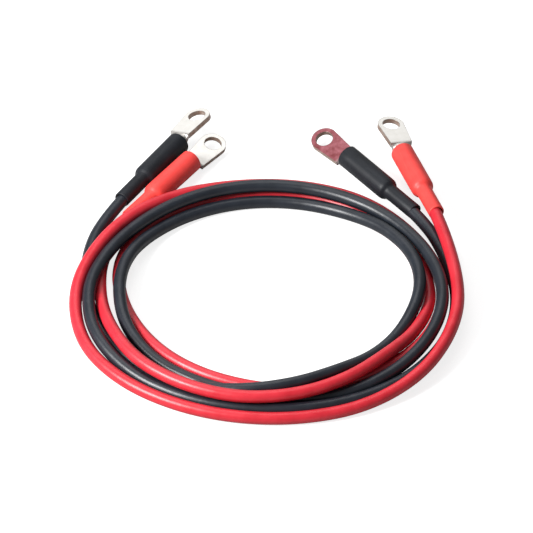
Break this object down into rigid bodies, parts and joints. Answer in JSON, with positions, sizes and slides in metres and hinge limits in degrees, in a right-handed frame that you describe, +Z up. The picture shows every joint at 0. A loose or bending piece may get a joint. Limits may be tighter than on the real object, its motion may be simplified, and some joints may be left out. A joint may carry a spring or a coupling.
{
  "type": "coiled battery cable pair",
  "caption": "Red and black battery or inverter cables in one loose coil, each end with a crimped ring lug under a heat-shrink sleeve.",
  "frame": {"origin": "middle of the bounding box, on the floor that the coil lies on", "axes": "+Z up and square to the flat coil, +Y towards the side where the four ring lugs leave the coil, +X to the right seen from above"},
  "size_m": [0.2372, 0.2894, 0.018],
  "materials": {
    "jacket_black": "satin",
    "jacket_red": "satin",
    "copper": "satin",
    "tinned_copper": "satin",
    "hot_melt": "satin",
    "sleeve_black": "satin",
    "sleeve_red": "satin"
  },
  "bodies": {
    "root": {"jacket_black": "jacket_black", "jacket_red": "jacket_red", "conductor_black": "copper", "conductor_red": "copper", "ring_lug_black_left": "tinned_copper", "ring_lug_black_right": "tinned_copper", "ring_lug_red_left": "tinned_copper", "ring_lug_red_right": "tinned_copper", "hot_melt_lining_black_left": "hot_melt", "hot_melt_lining_black_right": "hot_melt", "hot_melt_lining_red_left": "hot_melt", "hot_melt_lining_red_right": "hot_melt", "heat_shrink_sleeve_black_left": "sleeve_black", "heat_shrink_sleeve_black_right": "sleeve_black", "heat_shrink_sleeve_red_left": "sleeve_red", "heat_shrink_sleeve_red_right": "sleeve_red"}
  },
  "joints": []
}
